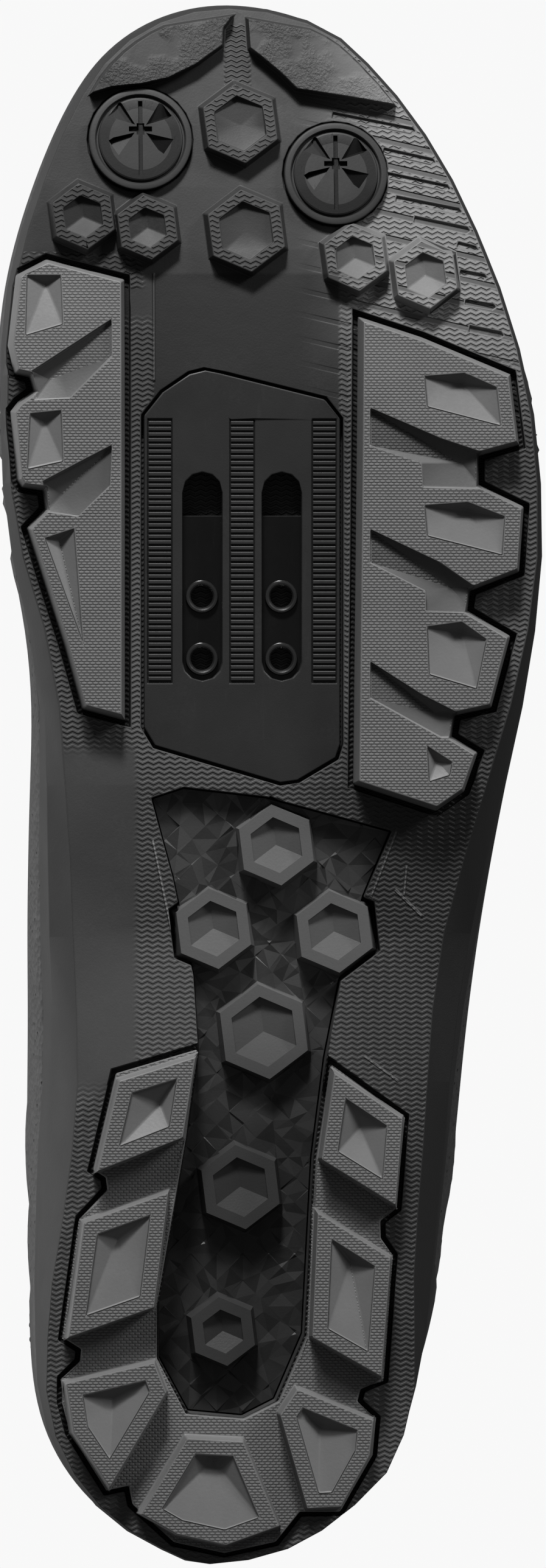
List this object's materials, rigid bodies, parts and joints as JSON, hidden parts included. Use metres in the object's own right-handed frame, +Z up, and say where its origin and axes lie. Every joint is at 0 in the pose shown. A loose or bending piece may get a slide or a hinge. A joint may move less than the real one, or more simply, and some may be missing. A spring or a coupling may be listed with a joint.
{
  "type": "cycling shoe",
  "caption": "Left off-road cycling shoe with a stiff lugged sole, a slotted cleat plate, hex studs, a hollow low-cut upper, tongue and straps, lying on its outer side.",
  "frame": {"origin": "middle of the bounding box's bottom, on the floor that the shoe lies on", "axes": "+X to the toe along the shoe, the sole faces -Y and the collar opens to +Y, +Z up; the shoe lies on its outer side"},
  "size_m": [0.275, 0.1088, 0.1019],
  "materials": {
    "upper_leather": "matt dark grey synthetic leather with small pinholes",
    "tongue_fabric": "black padded fabric",
    "insole_fabric": "black napped fabric",
    "sole_base": "dark grey moulded rubber with a fine zig-zag texture and a smooth side",
    "arch_plastic": "near-black faceted plastic",
    "tread_rubber": "mid grey rubber with a fine brick-weave texture",
    "plate_plastic": "smooth dark grey plastic with two ribbed rules",
    "nut_steel": "glossy black steel",
    "cap_plastic": "smooth dark grey plastic",
    "strap_fabric": "dark matt hook-and-loop strap"
  },
  "bodies": {
    "root": {"upper": "upper_leather", "tongue": "tongue_fabric", "insole": "insole_fabric", "outsole": "sole_base", "arch_plate": "arch_plastic", "medial_tread": "tread_rubber", "lateral_tread": "tread_rubber", "heel_tread": "tread_rubber", "cleat_plate": "plate_plastic", "cleat_nut_plate": "nut_steel", "spike_cap_medial": "cap_plastic", "spike_cap_lateral": "cap_plastic", "strap_front": "strap_fabric", "strap_middle": "strap_fabric", "strap_top": "strap_fabric"}
  },
  "joints": []
}
